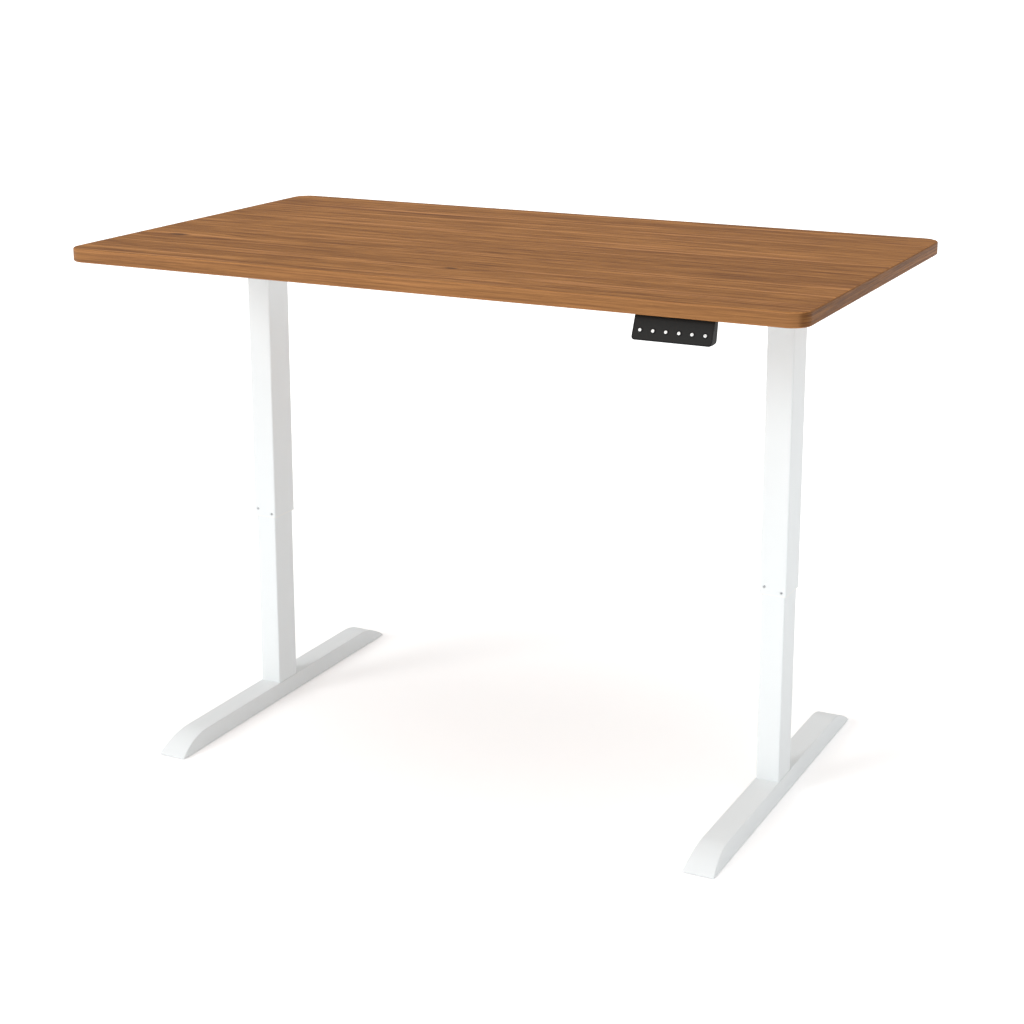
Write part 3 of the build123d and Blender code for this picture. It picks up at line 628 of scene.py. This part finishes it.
# a cutting block larger than any head: its sides and its depth
blockSize = (0.05, 0.05, 0.02)
# the middle of a cross's cuts, as a share of the head's height
crossLevel = 0.95
exactCut = {"operation": "DIFFERENCE", "solver": "EXACT"}


# moves a shape along its own z
def lift(start, shape, height):
    sockets = {"Geometry": shape, "Translation": start.join(0.0, 0.0, height)}
    return start.node("GeometryNodeTransform", None, sockets)


# a head at each spot, tipped over to face its way and each driven home to its own angle
def seatHeads(start, given, head):
    tipped = start.node("FunctionNodeEulerToRotation", None, {0: start.join(given["tip"], 0.0, 0.0)})
    sockets = {"Points": given["spots"], "Instance": head, "Rotation": tipped}
    heads = start.node("GeometryNodeInstanceOnPoints", None, sockets)
    sockets = {"Max": halfTurn, "Seed": given["seed"]}
    turn = start.node("FunctionNodeRandomValue", {"data_type": "FLOAT"}, sockets, 1)
    turn = start.node("FunctionNodeEulerToRotation", None, {0: start.join(0.0, 0.0, turn)})
    sockets = {"Instances": heads, "Rotation": turn, "Local Space": True}
    return start.node("GeometryNodeRotateInstances", None, sockets)


# a pan head with a cross recess, standing on its washer face and looking up
def growScrewHead(start, given):
    ball = {"Segments": 36, "Rings": 20, "Radius": given["radius"]}
    ball = start.node("GeometryNodeMeshUVSphere", None, ball)
    squash = start.join(1.0, 1.0, given["rise"] / given["radius"])
    head = start.node("GeometryNodeTransform", None, {"Geometry": ball, "Scale": squash})
    block = start.node("GeometryNodeMeshCube", None, {"Size": blockSize})
    cutters = [lift(start, block, -0.5 * blockSize[2])]
    # each bar is as tall as the head, so the cross is cut a little deeper than half of it
    for sides in ((given["slot"], given["recess"]), (given["recess"], given["slot"])):
        bar = start.node("GeometryNodeMeshCube", None, {"Size": start.join(*sides, given["rise"])})
        cutters.append(lift(start, bar, given["rise"] * crossLevel))
    # one cut after another, because an exact cut fails where its cutters overlap
    for cutter in cutters:
        head = start.node("GeometryNodeMeshBoolean", exactCut, {"Mesh 1": head, "Mesh 2": cutter})
    return seatHeads(start, given, head)


woodScrewShape = {"rise": 0.0024, "recess": 0.0052, "slot": 0.0010, "seed": 3, "tip": math.pi}


# the heads seat on what they hold and stand for the whole screws, whose shanks are in the wood
def makeWoodScrews(look):
    spots = []
    radius = 0.0
    for low, high in solidsOf("desktop_screws"):
        middle = (low + high) / 2
        radius = (high.x - low.x) / 2
        spots.append((middle.x, middle.y, low.z + look["rise"]))
    heads = grow("woodScrewHeads", growScrewHead, {"radius": radius, **look}, "zincSteel", spots)
    settle(heads, "head")
    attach(heads, "top")
    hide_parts("desktop_screws")


makeWoodScrews(woodScrewShape)
print("wood screws ready")


# a hexagon head with a chamfered top over a washer, standing on z = 0
def growBolt(start, given):
    washer = {"Vertices": 40, "Radius": given["washer"], "Depth": given["plate"]}
    washer = start.node("GeometryNodeMeshCylinder", None, washer)
    washer = lift(start, washer, given["plate"] * 0.5)
    height = given["height"] - given["plate"]
    prism = {"Vertices": 6, "Radius": given["radius"], "Depth": height}
    prism = start.node("GeometryNodeMeshCylinder", None, prism)
    prism = lift(start, prism, given["plate"] + height * 0.5)
    ball = {"Segments": 48, "Rings": 32, "Radius": given["crown"]}
    ball = start.node("GeometryNodeMeshUVSphere", None, ball)
    ball = lift(start, ball, given["height"] - given["crown"])
    # what the prism and a large ball share is the head with its corners taken off
    settings = {"operation": "INTERSECT", "solver": "EXACT"}
    head = start.node("GeometryNodeMeshBoolean", settings, {"Mesh 2": [ball, prism]})
    return seatHeads(start, given, start.gather(washer, head))


# crown, corners and washer are shares of the plain head's radius
railBoltShape = {
    "plate": 0.0008,
    "height": 0.0040,
    "crownShare": 1.9,
    "cornerShare": 0.96,
    "washerShare": 0.99,
    "seed": 5,
    "tip": math.pi,
}


# the bolt heads under the rails stand for the whole bolts, whose shanks are hidden
def makeRailBolts(look):
    spots = []
    radius = 0.0
    for low, high in solidsOf("rail_bolts"):
        middle = (low + high) / 2
        radius = (high.x - low.x) / 2
        spots.append((middle.x, middle.y, low.z + look["height"]))
    inputs = {"radius": radius * look["cornerShare"], "crown": radius * look["crownShare"]}
    inputs["washer"] = radius * look["washerShare"]
    for key in ("plate", "height", "seed", "tip"):
        inputs[key] = look[key]
    heads = grow("railBoltHeads", growBolt, inputs, "zincSteel", spots)
    settle(heads, "head")
    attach(heads, "top")
    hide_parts("rail_bolts")


makeRailBolts(railBoltShape)

guideScrewShape = {
    "radius": 0.0021,
    "rise": 0.0010,
    "recess": 0.0024,
    "slot": 0.0006,
    "seed": 8,
    "tip": math.pi / 2,
}
# how far the heads lie behind the plain screws' fronts
guideScrewDrop = 0.0001


# small screws low on the outer tubes' fronts, sunk in their holes
def makeGuideScrews(look):
    spots = []
    for low, high in solidsOf("glide_screws"):
        middle = (low + high) / 2
        spots.append((middle.x, low.y + look["rise"] + guideScrewDrop, middle.z))
    heads = grow("guideScrewHeads", growScrewHead, look, "zincSteel", spots)
    settle(heads, "head")
    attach(heads, "top")
    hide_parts("glide_screws")


makeGuideScrews(guideScrewShape)
print("rail bolts and guide screws ready")

# the face slopes back by tilt degrees, and the panel lies panelDrop below the rim's front;
# keyHeight is where the row of keys lies, measured up from the face's middle
handsetShape = {
    "tilt": 23.0,
    "corner": 0.0055,
    "rim": 0.0016,
    "rimDeep": 0.0020,
    "panelDrop": 0.0003,
    "sectionRound": 0.55,
    "panelCorner": 0.7,
    "arris": 0.0004,
    "keyHeight": -0.0056,
    "hole": 0.00295,
    "drill": 0.02,
    "cornerSteps": 10,
    "profileSteps": 24,
    "keys": 6,
}


# where the handset's sloping face lies, and its width and length
def handsetPlace(look):
    low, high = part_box("handset_face")
    tilt = math.radians(look["tilt"])
    length = (high.z - low.z) / math.cos(tilt)
    up = Vector((0.0, math.sin(tilt), math.cos(tilt)))
    out = Vector((0.0, -math.cos(tilt), math.sin(tilt)))
    middle = Vector(((low.x + high.x) / 2, low.y, low.z)) + up * (length / 2)
    matrix = Matrix((Vector((1.0, 0.0, 0.0)), up, out)).transposed().to_4x4()
    return Matrix.Translation(middle) @ matrix, high.x - low.x, length


# a bead of rounded section swept round the face's outline
def growRim(start, given):
    half = given["rim"] * 0.5
    sides = {"Width": given["width"] - given["rim"], "Height": given["length"] - given["rim"]}
    outline = start.node("GeometryNodeCurvePrimitiveQuadrilateral", None, sides)
    rounded = {"Curve": outline, "Count": 12, "Radius": given["corner"] - half}
    path = start.node("GeometryNodeFilletCurve", {"mode": "POLY"}, rounded)
    section = {"Width": given["rim"], "Height": given["rimDeep"]}
    section = start.node("GeometryNodeCurvePrimitiveQuadrilateral", None, section)
    rounded = {"Curve": section, "Count": 5, "Radius": half * given["sectionRound"]}
    section = start.node("GeometryNodeFilletCurve", {"mode": "POLY"}, rounded)
    rim = start.node("GeometryNodeCurveToMesh", None, {"Curve": path, "Profile Curve": section})
    return lift(start, rim, given["rimDeep"] * -0.5)


# the face panel: a thin slab with a round hole for each key
def growPanel(start, given):
    slab = growSlab(start, given)
    drill = {"Vertices": 48, "Radius": given["hole"], "Depth": given["drill"]}
    drill = start.node("GeometryNodeMeshCylinder", None, drill)
    drills = {"Points": given["spots"], "Instance": drill}
    drills = start.node("GeometryNodeInstanceOnPoints", None, drills)
    drills = start.node("GeometryNodeRealizeInstances", None, {0: drills})
    return start.node("GeometryNodeMeshBoolean", exactCut, {"Mesh 1": slab, "Mesh 2": drills})


# where each key stands on the face
def keySteps(look, seat):
    backward = seat.inverted()
    steps = []
    for number in range(1, look["keys"] + 1):
        low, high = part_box(f"button_{number}")
        steps.append(((backward @ ((low + high) / 2)).x, look["keyHeight"], 0.0))
    return steps


def makeHandset(look):
    place, width, length = handsetPlace(look)
    inputs = {"width": width, "length": length}
    for key in ("corner", "rim", "rimDeep", "sectionRound"):
        inputs[key] = look[key]
    rim = grow("handsetRim", growRim, inputs, "rimBlack")
    settle(rim, "rim", place)
    inputs = {
        "width": width - 2 * look["rim"],
        "depth": length - 2 * look["rim"],
        "thick": look["rimDeep"] - look["panelDrop"],
        "corner": look["corner"] - look["rim"] * look["panelCorner"],
    }
    for key in ("arris", "hole", "drill", "cornerSteps", "profileSteps"):
        inputs[key] = look[key]
    panel = grow("handsetPanel", growPanel, inputs, "blackPlastic", keySteps(look, place))
    sunk = Matrix.Translation((0, 0, -(look["rimDeep"] + look["panelDrop"]) / 2))
    settle(panel, "slab", place @ sunk)
    for piece in (rim, panel):
        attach(piece, "top")
    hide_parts("handset_face")
    return place


handsetSeat = makeHandset(handsetShape)


# round rings: an oval section swept round a circle, once at each spot
def growRings(start, given):
    ring = {"Resolution": 48, "Radius": given["middle"]}
    ring = start.node("GeometryNodeCurvePrimitiveCircle", None, ring)
    section = {"Resolution": 14, "Radius": 1.0}
    section = start.node("GeometryNodeCurvePrimitiveCircle", None, section)
    shaped = {"Geometry": section, "Scale": start.join(given["half"], given["rise"], 1.0)}
    section = start.node("GeometryNodeTransform", None, shaped)
    band = start.node("GeometryNodeCurveToMesh", None, {"Curve": ring, "Profile Curve": section})
    return start.node("GeometryNodeInstanceOnPoints", None, {"Points": given["spots"], "Instance": band})


# keeps a division by a point's distance from the middle from failing in the middle
noZero = 0.000001


# a key cap turned round its middle: a rounded shoulder and a shallow dish on top
def growCap(start, given):
    ball = {"Segments": 40, "Rings": 24, "Radius": 1.0}
    ball = start.node("GeometryNodeMeshUVSphere", None, ball)
    x, y, z = start.node("GeometryNodeInputPosition").split()
    squared = x * x + y * y
    wide = squared.math("SQRT", squared)
    # a power below one pushes the ball's skin outward, towards a flat drum
    level = z.math("SIGN", z) * z.math("POWER", abs(z), given["squareness"])
    dish = (1.0 - wide.smooth(0.0, given["dishWidth"])) * given["dish"]
    share = wide.math("POWER", wide, given["squareness"]) / (wide + noZero) * given["radius"]
    moved = {"Geometry": ball, "Position": start.join(x * share, y * share, level * given["half"] - dish)}
    return start.node("GeometryNodeSetPosition", None, moved)


# strokes of a symbol, as flat ribbons along the given edges
def growSymbol(start, given):
    lines = start.node("GeometryNodeMeshToCurve", None, {"Mesh": given["spots"]})
    section = {"Width": given["stroke"], "Height": given["rise"]}
    section = start.node("GeometryNodeCurvePrimitiveQuadrilateral", None, section)
    sockets = {"Curve": lines, "Profile Curve": section, "Fill Caps": True}
    return start.node("GeometryNodeCurveToMesh", None, sockets)


# rise is how far a cap stands above the face
keyShape = {
    "radius": 0.0027,
    "half": 0.0015,
    "rise": 0.0012,
    "squareness": 0.45,
    "dish": 0.00012,
    "dishWidth": 0.8,
    "stroke": 0.00042,
    "strokeRise": 0.00008,
    "sunk": 0.7,
}
keyRingShape = {"middle": 0.0038, "half": 0.0010, "rise": 0.0005}

# the six symbols: up, down, then the four stored heights; each has its points, in shares of the
# cap's radius, and the pairs of points that its strokes join
keySymbols = {
    1: (((-0.45, -0.15), (0.0, 0.35), (0.45, -0.15)), ((0, 1), (1, 2))),
    2: (((-0.45, 0.15), (0.0, -0.35), (0.45, 0.15)), ((0, 1), (1, 2))),
    3: (((-0.18, 0.28), (0.03, 0.45), (0.03, -0.45)), ((0, 1), (1, 2))),
    4: (
        ((-0.25, 0.40), (0.25, 0.40), (0.25, 0.0), (-0.25, 0.0), (-0.25, -0.40), (0.25, -0.40)),
        ((0, 1), (1, 2), (2, 3), (3, 4), (4, 5)),
    ),
    5: (
        ((-0.25, 0.40), (0.25, 0.40), (0.25, 0.0), (-0.12, 0.0), (0.25, -0.40), (-0.25, -0.40)),
        ((0, 1), (1, 2), (2, 3), (2, 4), (4, 5)),
    ),
    6: (
        ((-0.25, 0.42), (-0.25, -0.05), (0.28, -0.05), (0.14, 0.42), (0.14, -0.45)),
        ((0, 1), (1, 2), (3, 4)),
    ),
}


# six caps with their symbols, each on its own key, and the rings that stay on the face
def makeKeys(look, seat):
    steps = keySteps(handsetShape, seat)
    capInputs = {key: look[key] for key in ("radius", "half", "dish", "dishWidth", "squareness")}
    strokeInputs = {"stroke": look["stroke"], "rise": look["strokeRise"]}
    for (number, (corners, lines)), (step, height, _) in zip(keySymbols.items(), steps):
        cap = grow(f"keyCap{number}", growCap, capInputs, "buttonWhite")
        raised = Matrix.Translation((step, height, look["rise"] - look["half"]))
        settle(cap, "round", seat @ raised)
        points = [(x * look["radius"], y * look["radius"], 0.0) for x, y in corners]
        symbol = grow(f"keySymbol{number}", growSymbol, strokeInputs, "iconGrey", points, lines)
        lifted = Matrix.Translation((step, height, look["rise"] - look["dish"] * look["sunk"]))
        settle(symbol, "symbol", seat @ lifted)
        for piece in (cap, symbol):
            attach(piece, f"key_{number}")
        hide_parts(f"button_{number}")
    rings = grow("keyRings", growRings, keyRingShape, "ringGloss", steps)
    settle(rings, "round", seat)
    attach(rings, "top")
    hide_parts("button_rings")


makeKeys(keyShape, handsetSeat)
print("handset ready")

motorBandShape = {"places": (0.05, 0.50, 0.95), "half": 0.0008, "rise": 0.0026}


# rolled bands round the motor's can
def makeMotorBands(look):
    low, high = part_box("motor_can")
    length = high.x - low.x
    spots = [(0.0, 0.0, share * length) for share in look["places"]]
    inputs = {"middle": (high.z - low.z) / 2, "half": look["half"], "rise": look["rise"]}
    bands = grow("motorBands", growRings, inputs, "blackEnamel", spots)
    start = Matrix.Translation((low.x, (low.y + high.y) / 2, (low.z + high.z) / 2))
    settle(bands, "round", start @ Matrix.Rotation(math.radians(90.0), 4, "Y"))
    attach(bands, "top")


makeMotorBands(motorBandShape)


# rounded bars, all alike, one at each point
def growLouvres(start, given):
    bar = growSlab(start, given)
    return start.node("GeometryNodeInstanceOnPoints", None, {"Points": given["spots"], "Instance": bar})


# rowShare is how far each row lies from the middle, as a share of the box's width
louvreShape = {
    "count": 9,
    "pitch": 0.0055,
    "rowShare": 0.25,
    "length": 0.052,
    "width": 0.0026,
    "thick": 0.0016,
    "cornerShare": 0.45,
    "arris": 0.0005,
    "cornerSteps": 6,
    "profileSteps": 20,
}


# two rows of cooling louvres under the control box
def makeLouvres(look):
    low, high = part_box("control_base")
    middle = (low + high) / 2
    inputs = {"width": look["length"], "depth": look["width"]}
    inputs["corner"] = look["width"] * look["cornerShare"]
    for key in ("thick", "arris", "cornerSteps", "profileSteps"):
        inputs[key] = look[key]
    offset = (high.x - low.x) * look["rowShare"]
    spots = []
    for side in (-1, 1):
        for index in range(look["count"]):
            step = (index - (look["count"] - 1) / 2) * look["pitch"]
            spots.append((middle.x + side * offset, middle.y + step, low.z))
    louvres = grow("boxLouvres", growLouvres, inputs, "blackPlastic", spots)
    settle(louvres, "slab")
    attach(louvres, "top")


makeLouvres(louvreShape)
print("motor bands and louvres ready")

# each sun has the side it comes from, and its height and softness in degrees
studio = {
    "floorSize": 260.0,
    "floorColour": rgb(252, 252, 252),
    "floorShade": rgb(249, 249, 249),
    "floorRoughness": (0.85, 0.95),
    "floorGlow": 0.40,
    "nearGlow": (0.45, 0.45, 0.45, 1.0),
    "farGlow": (1.0, 1.0, 1.0, 1.0),
    "glowReach": (0.9, 4.0),
    "skyColour": (1.0, 1.0, 1.0, 1.0),
    "skyReach": (0.05, 0.95),
    "skyStrength": (0.06, 1.14),
    "bandReach": (0.07, 0.13),
    "bandStrength": 0.55,
    "key": {"from": (-0.50, -0.86), "height": 22.0, "softness": 22.0, "strength": 1.27},
    "top": {"from": (0.10, -0.99), "height": 72.0, "softness": 70.0, "strength": 0.50},
}


def makeSun(name, look):
    sun = bpy.data.lights.new(name, "SUN")
    sun.energy = look["strength"]
    sun.angle = math.radians(look["softness"])
    piece = bpy.data.objects.new(name, sun)
    height = math.radians(look["height"])
    x, y = look["from"]
    away = Vector((x, y, 0.0)).normalized() * math.cos(height) + Vector((0, 0, math.sin(height)))
    piece.rotation_mode = "QUATERNION"
    piece.rotation_quaternion = away.to_track_quat("Z", "Y")
    bpy.context.scene.collection.objects.link(piece)


def makeFloor(look):
    half = look["floorSize"] / 2
    corners = [(x * half, y * half, cadLow.z) for x, y in ((-1, -1), (1, -1), (1, 1), (-1, 1))]
    mesh = bpy.data.meshes.new("studioFloor")
    mesh.from_pydata(corners, [], [(0, 1, 2, 3)])
    floor = bpy.data.objects.new("studioFloor", mesh)
    bpy.context.scene.collection.objects.link(floor)
    shader = {"Specular IOR Level": 0.0, "Emission Strength": look["floorGlow"]}
    material, place, body = startMaterial("floorPaper", shader)
    cloud = place.noise(2.0, 2.0)
    colour = place.tint(look["floorColour"], look["floorShade"], cloud)
    dress(body, colour, cloud.between(*look["floorRoughness"]))
    # the paper glows a little away from the desk, so that it ends in white
    x, y, _ = place.split()
    squared = x * x + y * y
    away = squared.math("SQRT", squared).smooth(*look["glowReach"])
    glow = place.tint(look["nearGlow"], look["farGlow"], away)
    body.tree.links.new(glow.socket, body.socket.node.inputs["Emission Color"])
    mesh.materials.append(material)


def makeSky(look):
    world = bpy.data.worlds.new("studioWorld")
    world.use_nodes = True
    world.node_tree.nodes.clear()
    sky = Wire(world.node_tree)
    upward = sky.node("ShaderNodeTexCoord", None, None, "Generated").split()[2]
    strength = upward.smooth(*look["skyReach"]).between(*look["skyStrength"])
    # a pale band lies where the floor ends
    strength = strength + (1.0 - upward.smooth(*look["bandReach"])) * look["bandStrength"]
    glow = sky.node("ShaderNodeBackground", None, {"Color": look["skyColour"], "Strength": strength})
    sky.node("ShaderNodeOutputWorld", None, {"Surface": glow})
    bpy.context.scene.world = world


def makeStudio(look):
    makeFloor(look)
    makeSky(look)
    makeSun("keySun", look["key"])
    makeSun("topSun", look["top"])
    bpy.context.scene.view_settings.view_transform = "Standard"


makeStudio(studio)

# the camera stands in front and to the right, a little above the desktop
viewpoint = {
    "place": (1.598, -3.192, 1.549),
    "azimuth": 26.9,
    "down": 13.41,
    "roll": -0.12,
    "lens": 69.05,
    "sensor": 36.0,
    "shift": (0.0134, -0.1183),
    "farthest": 200.0,
}


def makeCamera(look):
    camera = bpy.data.cameras.new("deskCamera")
    camera.lens = look["lens"]
    camera.sensor_width = look["sensor"]
    camera.shift_x, camera.shift_y = look["shift"]
    camera.clip_end = look["farthest"]
    piece = bpy.data.objects.new("deskCamera", camera)
    turn = Matrix.Rotation(math.radians(look["azimuth"]), 4, "Z")
    tilt = Matrix.Rotation(math.radians(90.0 - look["down"]), 4, "X")
    roll = Matrix.Rotation(math.radians(look["roll"]), 4, "Z")
    piece.matrix_world = Matrix.Translation(look["place"]) @ turn @ tilt @ roll
    bpy.context.scene.collection.objects.link(piece)
    bpy.context.scene.camera = piece


makeCamera(viewpoint)
print("studio and camera ready")
